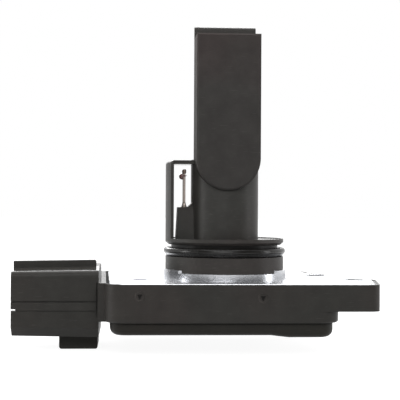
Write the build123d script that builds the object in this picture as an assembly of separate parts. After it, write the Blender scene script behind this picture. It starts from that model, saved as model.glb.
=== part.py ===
from build123d import *
import math
import os

os.makedirs("parts", exist_ok=True)

# Mass airflow sensor, in millimetres. The origin is on the collar's axis, in the plane of the base
# plate's top face, which seats on the duct. +Z runs along the probe, -X towards the connector, and the
# air in the duct flows along Y, through the thermistor guard's window.

# Collar and stem of the probe
COLLAR_R = 14.0
COLLAR_LENGTH = 3.65
SPIGOT_INSET = 3.0
SPIGOT_R = COLLAR_R - SPIGOT_INSET
SPIGOT_DEPTH = 2.0
GROOVE_DEPTH = 1.4
GROOVE_R = COLLAR_R - GROOVE_DEPTH
GROOVE_WIDTH = 2.75
DISC_FOOT_INSET = 0.7
DISC_FOOT_R = COLLAR_R - DISC_FOOT_INSET
DISC_CONE = 0.6
DISC_RIM = 0.8
DISC_LIP_HEIGHT = 0.2
DISC_LIP_WIDTH = 0.5
STEM_R = 8.0
STEM_LENGTH = 18.7

# Sealing ring
O_RING_SECTION_R = 0.9
O_RING_SIDES = 12

# Base plate
PLATE_T = 1.0
PLATE_EDGE = 0.2
RING_PROUD = 0.6
RING_R = COLLAR_R + RING_PROUD
RING_HEIGHT = 1.4
LUG_HEIGHT = 0.6
LUG_CHORD_INSET = 4.8
LUG_HALF_CHORD = COLLAR_R - LUG_CHORD_INSET
TOOLING_X, TOOLING_Y = -20.1, -8.7
TOOLING_R = 1.9
TOOLING_DEPTH = 0.6
LOCATOR_X, LOCATOR_Y = 23.0, 6.0
LOCATOR_R = 2.6
LOCATOR_DEPTH = 1.2

# Tray
TRAY_LEFT, TRAY_RIGHT = -27.85, 23.1
TRAY_LEAN = 1.05
TRAY_HALF_DEPTH = 24.0
TRAY_CORNER_R = 4.5
TRAY_DEPTH = 8.3
TRAY_WALL = 1.8
TRAY_LEDGE = 1.3
TRAY_LOWER_EDGE = 0.3
RIM_WIDTH = 0.35
RIM_STEP = 0.05
SEAL_WIDTH = 0.6
SEAL_STEP = 0.15

# Near mounting ear, to the right of the tray, flush with its near side
EAR_T = 5.8
EAR_HOLE_X, EAR_HOLE_Y = 29.2, -9.1
EAR_HOLE_R = 2.35
EAR_LOBE_R = 5.0
EAR_CORNER_X = 29.5
EAR_CORNER_R = 2.3
EAR_ROOT_FAR_Y = 15.5

# Far mounting ear, on the shoulder beside the connector
FAR_EAR_X, FAR_EAR_Y = -33.0, 15.5
BUSHING_R = 3.4

# Shoulder between the tray and the connector
SHOULDER_LENGTH = 1.45
SHOULDER_NEAR_Y, SHOULDER_FAR_Y = -20.5, 20.5

# Connector shell
SHELL_LENGTH = 19.3
SHELL_WIDTH = 24.6
SHELL_HEIGHT = 15.6
SHELL_CENTRE_Y = -3.0
SHELL_CENTRE_Z = -4.8
SHELL_CORNER_R = 1.3
SHELL_FLAT = 13.4
SHELL_FALL = 0.75
SHELL_BEVEL = 2.1
SHELL_DRAFT = 0.9
SHELL_WALL = 1.7
SHELL_POCKET = 14.5
SHELL_POCKET_R = 1.0
KEY_WIDTH = 2.0
KEY_HEIGHT = 1.45
KEY_OFFSET = 5.7
KEY_END_GAP = 0.7
KEY_END_BEVEL = 0.3
LINE_Z = -4.55
LINE_HEIGHT = 0.35
LINE_DEPTH = 0.3
STEP_Z = -6.5
STEP_DEPTH = 0.3
MOUTH_SLOT_Z = -6.4
MOUTH_SLOT_HEIGHT = 0.4
MOUTH_SLOT_LENGTH = 1.0
ROOT_GROOVE_WIDTH = 0.5
ROOT_GROOVE_DEPTH = 0.4
ROOT_GROOVE_END = 0.3
LATCH_LENGTH = 8.75
LATCH_ROOT_GAP = 0.35
LATCH_WIDTH = 10.0
LATCH_HEIGHT = 3.4
LATCH_EDGE_R = 0.7
LATCH_SLOT_WIDTH = 5.4
LATCH_SLOT_DEPTH = 6.0
LATCH_SLOT_ROOF = 1.4

# Lid
LID_INSET = 1.2
LID_T = 2.55
LID_EXTRA_T = 0.45
LID_RAMP_LEFT, LID_RAMP_RIGHT = 8.0, 12.0
LID_FLOOR = 1.2
LID_WALL = 1.2
LID_EDGE_R = 1.7
LID_GAP = 0.3
BEAD_WIDTH = 0.45

# Bypass duct
COVER_X = 0.1
COVER_WIDTH = 14.8
COVER_FRONT_Y = -9.0
COVER_TOP_Z = 56.5
COVER_BOTTOM_Z = 20.4
COVER_EDGE = 0.4
DUCT_WALL = 1.6
OUTLET_LOW_Z, OUTLET_HIGH_Z = 29.5, 40.0
OUTLET_NEAR_Y, OUTLET_FAR_Y = -6.6, -1.6
JOINT_Y = 1.5
DUCT_REAR_Y = 10.0
DUCT_DRAFT = 4.5
DUCT_RISE = 3.36
DUCT_LOW_Z = 22.5
DUCT_EDGE_R = 0.8
DUCT_GUSSET = 3.0
INLET_WIDTH = 9.6
INLET_HEIGHT = 10.0
INLET_CORNER_R = 1.6
INLET_LIP = 0.8
CORE_WIDTH = 10.4
CORE_LOW_Z = 28.5
CORE_DROP = 1.9
CORE_DEPTH = 3.0
CORE_RIB = 1.4

# Thermistor, its base block and its guard
GUARD_HALF_WIDTH = 5.2
GUARD_T = 1.7
GUARD_INNER_X = GUARD_T - COLLAR_R
GUARD_TOP_Z = 27.5
GUARD_BAR_T = 0.9
GUARD_BAR_HALF_WIDTH = 3.2
GUARD_CORNER_R = 1.0
BASE_LEFT_X, BASE_RIGHT_X = -11.6, -6.5
BASE_HALF_WIDTH = 3.0
BASE_HEIGHT = 7.5
BASE_DRAFT = 3.0
BASE_SLOPE = 0.9
POST_INSET = 1.35
POST_X = POST_INSET - SPIGOT_R
POST_HALF_SPACING = 1.5
POST_SIDE = 0.5
POST_TOP_Z = 25.4
BEAD_Z = 23.76
BEAD_R = 0.8
BEAD_SHIFT = 0.2
BEAD_SIDES = 12
BEAD_LEG = 0.2

# Hot-wire elements and their support pins
PIN_SIDE = 0.6
PIN_HALF_SPACING = 2.4
PIN_HOT_Y, PIN_COLD_Y = 3.4, 5.8
PIN_DROP = 6.4
ELEMENT_R = 0.5
ELEMENT_LENGTH = 2.6
ELEMENT_LEG = 0.24

# Circuit board and what it carries
BOARD_T = 0.8
BOARD_DROP = 2.2
BOARD_GAP = 0.25
TAIL = 0.7
HOLE_GAP = 0.1
CHIP_SIZE = (9.0, 9.0, 1.6)
CHIP_FROM_LEFT, CHIP_FROM_NEAR = 14.8, 9.0
TRANSISTOR_SIZE = (6.6, 6.2, 2.3)
TRANSISTOR_FROM_RIGHT, TRANSISTOR_FROM_NEAR = 9.0, 7.0
CAPACITOR_SIZE = (2.0, 1.25, 1.0)
CAPACITOR_COUNT = 6
CAPACITOR_PITCH = 3.4
CAPACITOR_FROM_LEFT, CAPACITOR_FROM_FAR = 19.8, 6.5
RESISTOR_SIZE = (3.2, 1.6, 0.6)
RESISTOR_COUNT = 4
RESISTOR_PITCH = 3.6
RESISTOR_FROM_RIGHT, RESISTOR_FROM_FAR = 8.0, 26.0

# Connector terminals
TERMINAL_COUNT = 5
TERMINAL_PITCH = 3.6
TERMINAL_WIDTH = 1.5
TERMINAL_T = 0.64
TERMINAL_REACH = 7.0
TERMINAL_POINT = 0.2
TERMINAL_TAIL_WIDTH = 0.8
TERMINAL_BEND_X = -22.0

# Fits
SPIGOT_GAP = 0.05
COVER_GAP = 0.05
LUG_GAP = 0.05

# Levels and places that follow from the sizes above
groove_bottom_z = RING_HEIGHT + COLLAR_LENGTH
cone_bottom_z = groove_bottom_z + GROOVE_WIDTH
rim_bottom_z = cone_bottom_z + DISC_CONE
disc_top_z = rim_bottom_z + DISC_RIM
disc_floor_z = disc_top_z - DISC_LIP_HEIGHT
stem_top_z = disc_floor_z + STEM_LENGTH
base_top_z = disc_floor_z + BASE_HEIGHT
board_top_z = -PLATE_T - BOARD_DROP
board_bottom_z = board_top_z - BOARD_T
board_left_x = TRAY_LEFT + TRAY_WALL + BOARD_GAP
board_right_x = TRAY_RIGHT - TRAY_WALL - BOARD_GAP
board_far_y = TRAY_HALF_DEPTH - TRAY_WALL - BOARD_GAP
lid_top_z = -TRAY_DEPTH - LID_GAP
lid_bottom_z = lid_top_z - LID_T
lid_deep_z = lid_bottom_z - LID_EXTRA_T
shell_root_x = TRAY_LEFT - SHOULDER_LENGTH
shell_mouth_x = shell_root_x - SHELL_LENGTH
pocket_end_x = shell_mouth_x + SHELL_POCKET
shell_low_z = SHELL_CENTRE_Z - SHELL_HEIGHT / 2
shell_top_z = SHELL_CENTRE_Z + SHELL_HEIGHT / 2
shell_narrowing = SHELL_LENGTH * math.tan(math.radians(SHELL_DRAFT))
plug_z = SHELL_CENTRE_Z - SHELL_FALL / 2
cover_r = COVER_WIDTH / 2
cover_round_z = COVER_BOTTOM_Z + cover_r
duct_top_z = COVER_TOP_Z + DUCT_RISE
inlet_high_z = COVER_TOP_Z - DUCT_WALL
core_high_z = inlet_high_z - INLET_HEIGHT - CORE_DROP
pin_top_z = inlet_high_z - PIN_DROP
plate_inset = RIM_WIDTH + SEAL_WIDTH
LIFT = (Align.CENTER, Align.CENTER, Align.MIN)


def block(x0, x1, y0, y1, z0, z1):
    """A box between two corners."""
    return Pos((x0 + x1) / 2, (y0 + y1) / 2, (z0 + z1) / 2) * Box(x1 - x0, y1 - y0, z1 - z0)


def prism(outline, z0, z1):
    """A plan outline raised from one level to another."""
    return extrude(Pos(0, 0, z0) * outline, amount=z1 - z0)


def barrel(radius, z0, z1, x=0.0, y=0.0):
    """An upright cylinder between two levels."""
    return Pos(x, y, z0) * Cylinder(radius, z1 - z0, align=LIFT)


def upright(outline, y):
    """An outline drawn in X and Z, stood up at one depth."""
    return Plane(origin=(0, y, 0), x_dir=(1, 0, 0), z_dir=(0, -1, 0)) * outline


def upright_prism(outline, y0, y1):
    """An outline in X and Z, drawn out along Y."""
    return extrude(upright(outline, y1), amount=y1 - y0)


def tray_outline(inset=0.0):
    """The tray's plan, or the same drawn in from its sides. The left side leans outwards to the rear."""
    near_y, far_y = -TRAY_HALF_DEPTH + inset, TRAY_HALF_DEPTH - inset
    left_x, right_x = TRAY_LEFT + inset, TRAY_RIGHT - inset
    corners = ((left_x, near_y), (right_x, near_y), (right_x, far_y), (left_x - TRAY_LEAN, far_y))
    plan = make_face(Polyline(*corners, close=True))
    return fillet(plan.vertices(), TRAY_CORNER_R - inset)


def near_ear_outline(inset=0.0):
    """The near ear: a lobe round its hole and a corner, both joined to a long root on the tray's side."""
    near_y = -TRAY_HALF_DEPTH + inset
    far_y = EAR_ROOT_FAR_Y - inset
    root_x = TRAY_RIGHT - TRAY_CORNER_R
    lobe = Pos(EAR_HOLE_X, EAR_HOLE_Y) * Circle(EAR_LOBE_R - inset)
    corner = Pos(EAR_CORNER_X, -TRAY_HALF_DEPTH + EAR_CORNER_R) * Circle(EAR_CORNER_R - inset)
    root = Pos((root_x + TRAY_RIGHT - inset) / 2, (near_y + far_y) / 2) * Rectangle(
        TRAY_RIGHT - inset - root_x, far_y - near_y
    )
    return make_hull(lobe.edges() + corner.edges() + root.edges())


def far_ear_outline():
    """The far ear: a lobe round its hole, joined to the shoulder."""
    lobe = Pos(FAR_EAR_X, FAR_EAR_Y) * Circle(EAR_LOBE_R)
    half = SHOULDER_FAR_Y - FAR_EAR_Y
    root = Pos(shell_root_x + SHOULDER_LENGTH / 2, FAR_EAR_Y) * Rectangle(SHOULDER_LENGTH, 2 * half)
    return make_hull(lobe.edges() + root.edges())


def plate_outline(inset):
    return tray_outline(inset) + near_ear_outline(inset)


def terminal_y(number):
    return SHELL_CENTRE_Y + (number - (TERMINAL_COUNT - 1) / 2) * TERMINAL_PITCH


def terminal(number, tail_gap=0.0):
    """A flat blade with a chamfered point, bent up at its inner end into the circuit board."""
    y = terminal_y(number)
    half, thick = TERMINAL_WIDTH / 2, TERMINAL_T / 2
    blade = block(
        pocket_end_x - TERMINAL_REACH, TERMINAL_BEND_X,
        y - half, y + half, plug_z - thick, plug_z + thick,
    )
    blade = chamfer(blade.faces().sort_by(Axis.X)[0].edges(), TERMINAL_POINT)
    reach = TERMINAL_TAIL_WIDTH / 2 + tail_gap
    tail = block(
        TERMINAL_BEND_X - TERMINAL_T - tail_gap, TERMINAL_BEND_X + tail_gap,
        y - reach, y + reach, plug_z, board_top_z + TAIL,
    )
    return blade + tail


def shell_section(x, inset):
    """The shell's outline across its length: sloped top, side line, lower step and bevelled bottom."""
    half = SHELL_WIDTH / 2 - inset
    top_z, low_z = shell_top_z - inset, shell_low_z + inset
    lower = half - STEP_DEPTH
    line_low, line_high = LINE_Z - LINE_HEIGHT / 2, LINE_Z + LINE_HEIGHT / 2
    side = [
        (lower - SHELL_BEVEL, low_z), (lower, low_z + SHELL_BEVEL), (lower, STEP_Z), (half, STEP_Z),
        (half, line_low), (half - LINE_DEPTH, line_low), (half - LINE_DEPTH, line_high), (half, line_high),
        (half, top_z - SHELL_FALL), (SHELL_FLAT / 2 - inset, top_z),
    ]
    outline = make_face(Polyline(*side, *[(-u, z) for u, z in reversed(side)], close=True))
    corners = [v for v in outline.vertices() if abs(v.Y - (top_z - SHELL_FALL)) < 0.001]
    outline = fillet(corners, SHELL_CORNER_R)
    return Plane(origin=(x, SHELL_CENTRE_Y, 0), x_dir=(0, -1, 0), z_dir=(-1, 0, 0)) * outline


def connector_shell():
    """The outer shell, drafted from the root to the mouth, with one key along its top."""
    shell = loft([shell_section(shell_root_x, 0), shell_section(shell_mouth_x, shell_narrowing)], ruled=True)
    key_end_x = shell_root_x - KEY_END_GAP
    key_top_z = shell_top_z + KEY_HEIGHT
    side = [
        (shell_mouth_x, plug_z), (key_end_x, plug_z), (key_end_x, key_top_z - KEY_END_BEVEL),
        (key_end_x - KEY_END_BEVEL, key_top_z), (shell_mouth_x, key_top_z - shell_narrowing),
    ]
    key_y = SHELL_CENTRE_Y - KEY_OFFSET
    outline = make_face(Polyline(*side, close=True))
    shell += upright_prism(outline, key_y - KEY_WIDTH / 2, key_y + KEY_WIDTH / 2)
    for side in (-1, 1):
        y = SHELL_CENTRE_Y + side * SHELL_WIDTH / 2
        shell -= block(
            shell_root_x - ROOT_GROOVE_WIDTH, shell_root_x, y - ROOT_GROOVE_DEPTH, y + ROOT_GROOVE_DEPTH,
            -TRAY_DEPTH + ROOT_GROOVE_END, -ROOT_GROOVE_END,
        )
    half = SHELL_WIDTH / 2
    return shell - block(
        shell_mouth_x, shell_mouth_x + MOUTH_SLOT_LENGTH, SHELL_CENTRE_Y - half, SHELL_CENTRE_Y + half,
        MOUTH_SLOT_Z - MOUTH_SLOT_HEIGHT / 2, MOUTH_SLOT_Z + MOUTH_SLOT_HEIGHT / 2,
    )


def shell_pocket():
    """The room inside the shell for the plug."""
    mouth = Plane(origin=(shell_mouth_x, SHELL_CENTRE_Y, plug_z), x_dir=(0, 1, 0), z_dir=(1, 0, 0))
    width = SHELL_WIDTH - 2 * (shell_narrowing + STEP_DEPTH + SHELL_WALL)
    height = SHELL_HEIGHT - SHELL_FALL - 2 * (shell_narrowing + SHELL_WALL)
    return extrude(mouth * RectangleRounded(width, height, SHELL_POCKET_R), amount=SHELL_POCKET)


def latch():
    """The catch under the shell, slotted from the mouth's side for the plug's lock."""
    near_x = shell_root_x - LATCH_ROOT_GAP
    far_x = near_x - LATCH_LENGTH
    near_y, far_y = SHELL_CENTRE_Y - LATCH_WIDTH / 2, SHELL_CENTRE_Y + LATCH_WIDTH / 2
    low_z = shell_low_z - LATCH_HEIGHT
    body = block(far_x, near_x, near_y, far_y, low_z, SHELL_CENTRE_Z - SHELL_HEIGHT / 4)
    body = fillet(body.faces().sort_by(Axis.Z)[0].edges(), LATCH_EDGE_R)
    half_slot = LATCH_SLOT_WIDTH / 2
    slot = block(
        far_x, far_x + LATCH_SLOT_DEPTH,
        SHELL_CENTRE_Y - half_slot, SHELL_CENTRE_Y + half_slot,
        low_z + LATCH_SLOT_ROOF, shell_low_z,
    )
    return body - slot


def housing():
    """Tray, connector, shoulder and ears in one moulding."""
    body = prism(tray_outline(), -TRAY_DEPTH, -RIM_STEP)
    body = chamfer(body.faces().sort_by(Axis.Z)[0].edges(), TRAY_LOWER_EDGE)
    body += prism(near_ear_outline(), -EAR_T, -RIM_STEP)
    body += block(shell_root_x, TRAY_LEFT + TRAY_WALL, SHOULDER_NEAR_Y, SHOULDER_FAR_Y, -TRAY_DEPTH, 0)
    body += prism(far_ear_outline(), -EAR_T, 0)
    body += connector_shell() + latch()
    body -= shell_pocket()
    body -= prism(plate_outline(RIM_WIDTH), -PLATE_T, PLATE_T)
    body -= prism(tray_outline(TRAY_WALL + TRAY_LEDGE), board_top_z, 0)
    body -= prism(tray_outline(TRAY_WALL), -TRAY_DEPTH, board_top_z)
    body -= barrel(BUSHING_R, -EAR_T, 0, EAR_HOLE_X, EAR_HOLE_Y)
    body -= barrel(BUSHING_R, -EAR_T, 0, FAR_EAR_X, FAR_EAR_Y)
    body -= barrel(LOCATOR_R, -PLATE_T - LOCATOR_DEPTH, 0, LOCATOR_X, LOCATOR_Y)
    for number in range(TERMINAL_COUNT):
        body -= terminal(number)
    return body


def base_plate():
    """The metal plate with the raised ring that the collar seats on, and two lugs that hold it."""
    plate = prism(plate_outline(plate_inset), -PLATE_T, 0)
    plate = chamfer(plate.faces().sort_by(Axis.Z)[-1].edges(), PLATE_EDGE)
    plate += barrel(RING_R, 0, RING_HEIGHT)
    lugs = barrel(RING_R, RING_HEIGHT, RING_HEIGHT + LUG_HEIGHT)
    lugs -= barrel(COLLAR_R + LUG_GAP, RING_HEIGHT, RING_HEIGHT + LUG_HEIGHT)
    band = block(-RING_R, RING_R, -LUG_HALF_CHORD, LUG_HALF_CHORD, RING_HEIGHT, RING_HEIGHT + LUG_HEIGHT)
    plate += lugs & band
    plate -= barrel(SPIGOT_R + SPIGOT_GAP, -PLATE_T, RING_HEIGHT)
    plate -= barrel(EAR_HOLE_R, -PLATE_T, 0, EAR_HOLE_X, EAR_HOLE_Y)
    plate -= barrel(LOCATOR_R, -PLATE_T, 0, LOCATOR_X, LOCATOR_Y)
    plate -= barrel(TOOLING_R, -TOOLING_DEPTH, 0, TOOLING_X, TOOLING_Y)
    return plate


def plate_seal():
    return prism(plate_outline(RIM_WIDTH) - plate_outline(plate_inset), -PLATE_T, -SEAL_STEP)


def ear_bushing(x, y, top_z):
    return barrel(BUSHING_R, -EAR_T, top_z, x, y) - barrel(EAR_HOLE_R, -EAR_T, top_z, x, y)


def lid():
    """A shallow pan with a rounded lower edge, a little deeper towards its right end."""
    pan = prism(tray_outline(LID_INSET), lid_deep_z, lid_top_z)
    left_x = TRAY_LEFT - TRAY_LEAN
    spare = [
        (left_x, lid_bottom_z), (LID_RAMP_LEFT, lid_bottom_z),
        (LID_RAMP_RIGHT, lid_deep_z), (left_x, lid_deep_z),
    ]
    pan -= upright_prism(make_face(Polyline(*spare, close=True)), -TRAY_HALF_DEPTH, TRAY_HALF_DEPTH)
    low = [edge for edge in pan.edges() if edge.center().Z < lid_bottom_z + RIM_STEP]
    ramp_x = (LID_RAMP_LEFT + LID_RAMP_RIGHT) / 2
    across = [edge for edge in low if abs(edge.center().Y) < 1 and abs(edge.center().X - ramp_x) < LID_T]
    pan = fillet([edge for edge in low if edge not in across], LID_EDGE_R)
    return pan - prism(tray_outline(LID_INSET + LID_WALL), lid_bottom_z + LID_FLOOR, lid_top_z)


def lid_seal():
    bead = tray_outline(TRAY_WALL - BEAD_WIDTH) - tray_outline(TRAY_WALL)
    return prism(bead, lid_top_z, -TRAY_DEPTH)


def cover_outline(inset=0.0):
    """The duct cover's face: straight sides, square top, half-round lower end."""
    half = cover_r - inset
    top = COVER_TOP_Z - inset
    straight = Pos(COVER_X, (cover_round_z + top) / 2) * Rectangle(2 * half, top - cover_round_z)
    return straight + Pos(COVER_X, cover_round_z) * Circle(half)


def duct_cover():
    """The front half of the bypass: a deep pan with an outlet in its right side."""
    shell = upright_prism(cover_outline(), COVER_FRONT_Y, JOINT_Y)
    shell = chamfer(shell.faces().sort_by(Axis.Y)[0].edges(), COVER_EDGE)
    shell -= upright_prism(cover_outline(DUCT_WALL), COVER_FRONT_Y + DUCT_WALL, JOINT_Y)
    right_x = COVER_X + cover_r
    return shell - block(
        right_x - 2 * DUCT_WALL, right_x, OUTLET_NEAR_Y, OUTLET_FAR_Y, OUTLET_LOW_Z, OUTLET_HIGH_Z
    )


def collar():
    """Spigot, collar, groove for the sealing ring, and a disc with a low lip, turned about the axis."""
    inner = COLLAR_R - DISC_LIP_WIDTH
    points = [
        (0, -SPIGOT_DEPTH), (SPIGOT_R, -SPIGOT_DEPTH), (SPIGOT_R, RING_HEIGHT), (COLLAR_R, RING_HEIGHT),
        (COLLAR_R, groove_bottom_z), (GROOVE_R, groove_bottom_z), (GROOVE_R, cone_bottom_z),
        (DISC_FOOT_R, cone_bottom_z), (COLLAR_R, rim_bottom_z), (COLLAR_R, disc_top_z),
        (inner, disc_top_z), (inner, disc_floor_z), (0, disc_floor_z),
    ]
    return revolve(make_face(Plane.XZ * Polyline(*points, close=True)), Axis.Z)


def duct_face(y, inset):
    """The rear duct's outline at one depth."""
    middle_z = (duct_top_z + DUCT_LOW_Z) / 2
    height = duct_top_z - DUCT_LOW_Z - 2 * inset
    return upright(Pos(COVER_X, middle_z) * Rectangle(COVER_WIDTH - 2 * inset, height), y)


def duct_rear():
    """The rear half of the bypass: the inlet from the duct, and a cored back below it."""
    narrowing = (DUCT_REAR_Y - JOINT_Y) * math.tan(math.radians(DUCT_DRAFT))
    body = loft([duct_face(JOINT_Y, 0), duct_face(DUCT_REAR_Y, narrowing)], ruled=True)
    rear = body.faces().sort_by(Axis.Y)[-1].edges()
    body = chamfer(rear.sort_by(Axis.Z)[0], DUCT_GUSSET)
    body = fillet(body.faces().sort_by(Axis.Z)[-1].edges().filter_by(Axis.X), DUCT_EDGE_R)
    middle = Pos(COVER_X, inlet_high_z - INLET_HEIGHT / 2)
    inlet = middle * RectangleRounded(INLET_WIDTH, INLET_HEIGHT, INLET_CORNER_R)
    body -= upright_prism(inlet, JOINT_Y, DUCT_REAR_Y)
    mouth = body.faces().sort_by(Axis.Y)[-1].inner_wires()[0].edges()
    body = chamfer(mouth, INLET_LIP)
    for side in (-1, 1):
        x = COVER_X + side * (CORE_WIDTH / 4 + CORE_RIB / 4)
        width = (CORE_WIDTH - CORE_RIB) / 2
        body -= block(
            x - width / 2, x + width / 2, DUCT_REAR_Y - CORE_DEPTH, DUCT_REAR_Y, CORE_LOW_Z, core_high_z
        )
    return body


def guard():
    """The post and bar that stand round the temperature bead, flush with the disc's rim."""
    post = barrel(COLLAR_R, rim_bottom_z, GUARD_TOP_Z)
    post &= block(
        -COLLAR_R, GUARD_INNER_X, -GUARD_HALF_WIDTH, GUARD_HALF_WIDTH, rim_bottom_z, GUARD_TOP_Z
    )
    post = fillet(post.faces().sort_by(Axis.Z)[-1].edges().filter_by(GeomType.CIRCLE), GUARD_CORNER_R)
    bar = block(
        GUARD_INNER_X - GUARD_BAR_T / 2, -STEM_R / 2, -GUARD_BAR_HALF_WIDTH, GUARD_BAR_HALF_WIDTH,
        GUARD_TOP_Z - GUARD_BAR_T, GUARD_TOP_Z,
    )
    return post + bar


def sensor_base():
    """The tapered block that the temperature posts stand in, with a small slope up to the stem."""
    middle = (BASE_LEFT_X + BASE_RIGHT_X) / 2
    foot = Pos(middle, 0, disc_floor_z) * Rectangle(BASE_RIGHT_X - BASE_LEFT_X, 2 * BASE_HALF_WIDTH)
    body = extrude(foot, amount=BASE_HEIGHT, taper=BASE_DRAFT)
    inner_x, high_z = -STEM_R + BASE_SLOPE, base_top_z + 2 * BASE_SLOPE
    slope = [(-STEM_R - BASE_SLOPE, base_top_z), (inner_x, base_top_z), (inner_x, high_z)]
    half = BASE_HALF_WIDTH - BASE_SLOPE
    return body + upright_prism(make_face(Polyline(*slope, close=True)), -half, half)


def temperature_post(side):
    half = POST_SIDE / 2
    y = side * POST_HALF_SPACING
    return block(POST_X - half, POST_X + half, y - half, y + half, board_bottom_z - TAIL, POST_TOP_Z)


def support_pin(side, y):
    half = PIN_SIDE / 2
    x = side * PIN_HALF_SPACING
    return block(x - half, x + half, y - half, y + half, board_bottom_z - TAIL, pin_top_z)


def probe_body():
    """Collar, stem, guard, sensor base and rear duct in one moulding, with the leads moulded in."""
    body = collar() + barrel(STEM_R, disc_floor_z, stem_top_z) + duct_rear()
    body += guard() + sensor_base()
    body -= upright_prism(cover_outline(-COVER_GAP), COVER_FRONT_Y - COVER_EDGE, JOINT_Y)
    for post in posts:
        body -= post
    for pin in pins:
        body -= pin
    return body


def o_ring():
    section = RegularPolygon(O_RING_SECTION_R, O_RING_SIDES, major_radius=False, rotation=180 / O_RING_SIDES)
    middle = Pos(GROOVE_R + O_RING_SECTION_R, groove_bottom_z + O_RING_SECTION_R)
    return revolve(Plane.XZ * (middle * section), Axis.Z)


def element(y):
    """A small ceramic rod with a wire leg at each end, lying on two pins."""
    rod = Rot(0, 90, 0) * Cylinder(ELEMENT_R, ELEMENT_LENGTH)
    legs = Box(2 * PIN_HALF_SPACING + PIN_SIDE, ELEMENT_LEG, ELEMENT_LEG)
    return Pos(0, y, pin_top_z + ELEMENT_LEG / 2) * (rod + legs)


def temperature_bead():
    """A glass bead with a fine leg to each post, on the posts' outer faces."""
    turns = [math.pi * 2 * n / BEAD_SIDES for n in range(BEAD_SIDES // 2 + 1)]
    profile = Plane.XZ * Polyline(*[(BEAD_R * math.sin(a), BEAD_R * math.cos(a)) for a in turns], close=True)
    bead = Rot(90, 0, 0) * revolve(make_face(profile), Axis.Z)
    legs = Box(BEAD_LEG, 2 * POST_HALF_SPACING + POST_SIDE, BEAD_LEG)
    leg_x = POST_X - POST_SIDE / 2 - BEAD_LEG / 2
    return Pos(leg_x, 0, BEAD_Z) * (Pos(BEAD_SHIFT, 0, 0) * bead + legs)


def circuit_board():
    """The board that rests against the tray's ledge, with a hole for each lead."""
    board = prism(tray_outline(TRAY_WALL + BOARD_GAP), board_bottom_z, board_top_z)
    holes = [(POST_X, side * POST_HALF_SPACING, POST_SIDE) for side in (-1, 1)]
    for y in (PIN_HOT_Y, PIN_COLD_Y):
        holes += [(side * PIN_HALF_SPACING, y, PIN_SIDE) for side in (-1, 1)]
    for x, y, side in holes:
        reach = side / 2 + HOLE_GAP
        board -= block(x - reach, x + reach, y - reach, y + reach, board_bottom_z, board_top_z)
    for number in range(TERMINAL_COUNT):
        board -= terminal(number, HOLE_GAP)
    return board


def chip(size, x, y):
    """A flat package under the board."""
    return Pos(x, y, board_bottom_z - size[2] / 2) * Box(*size)


posts = [temperature_post(side) for side in (-1, 1)]
pins = [support_pin(side, y) for y in (PIN_HOT_Y, PIN_COLD_Y) for side in (-1, 1)]
control_chip = chip(CHIP_SIZE, board_left_x + CHIP_FROM_LEFT, CHIP_FROM_NEAR - board_far_y)
transistor = chip(TRANSISTOR_SIZE, board_right_x - TRANSISTOR_FROM_RIGHT, TRANSISTOR_FROM_NEAR - board_far_y)
capacitor_x, capacitor_y = board_left_x + CAPACITOR_FROM_LEFT, board_far_y - CAPACITOR_FROM_FAR
capacitors = [
    chip(CAPACITOR_SIZE, capacitor_x + n * CAPACITOR_PITCH, capacitor_y) for n in range(CAPACITOR_COUNT)
]
resistor_x, resistor_y = board_right_x - RESISTOR_FROM_RIGHT, board_far_y - RESISTOR_FROM_FAR
resistors = [chip(RESISTOR_SIZE, resistor_x, resistor_y + n * RESISTOR_PITCH) for n in range(RESISTOR_COUNT)]

pieces = {
    "housing": housing(),
    "base_plate": base_plate(),
    "plate_seal": plate_seal(),
    "lid": lid(),
    "lid_seal": lid_seal(),
    "probe_body": probe_body(),
    "duct_cover": duct_cover(),
    "o_ring": o_ring(),
    "temperature_bead": temperature_bead(),
    "temperature_post_near": posts[0],
    "temperature_post_far": posts[1],
    "hot_element": element(PIN_HOT_Y),
    "cold_element": element(PIN_COLD_Y),
    "circuit_board": circuit_board(),
    "control_chip": control_chip,
    "heater_transistor": transistor,
    "chip_capacitors": Compound(children=capacitors),
    "bridge_resistors": Compound(children=resistors),
    "ear_bushing_near": ear_bushing(EAR_HOLE_X, EAR_HOLE_Y, -PLATE_T),
    "ear_bushing_far": ear_bushing(FAR_EAR_X, FAR_EAR_Y, 0),
}
for number, pin in enumerate(pins, 1):
    pieces[f"support_pin_{number}"] = pin
for number in range(TERMINAL_COUNT):
    pieces[f"terminal_{number + 1}"] = terminal(number)

for name, shape in pieces.items():
    export_step(shape, f"parts/{name}.step")
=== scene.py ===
# %% [markdown]
# # A plug-in airflow sensor
# This lesson dresses an engine's airflow sensor: a flat black body with a connector on the left, a bright metal
# plate on top, and a probe that reaches into the air duct. The solids come from a CAD model and stay as they
# are. Everything here is about light, finish and the small pieces that a CAD model leaves out.

# %% Load the model
import bpy
import bmesh
import math
from mathutils import Matrix, Vector


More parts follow.
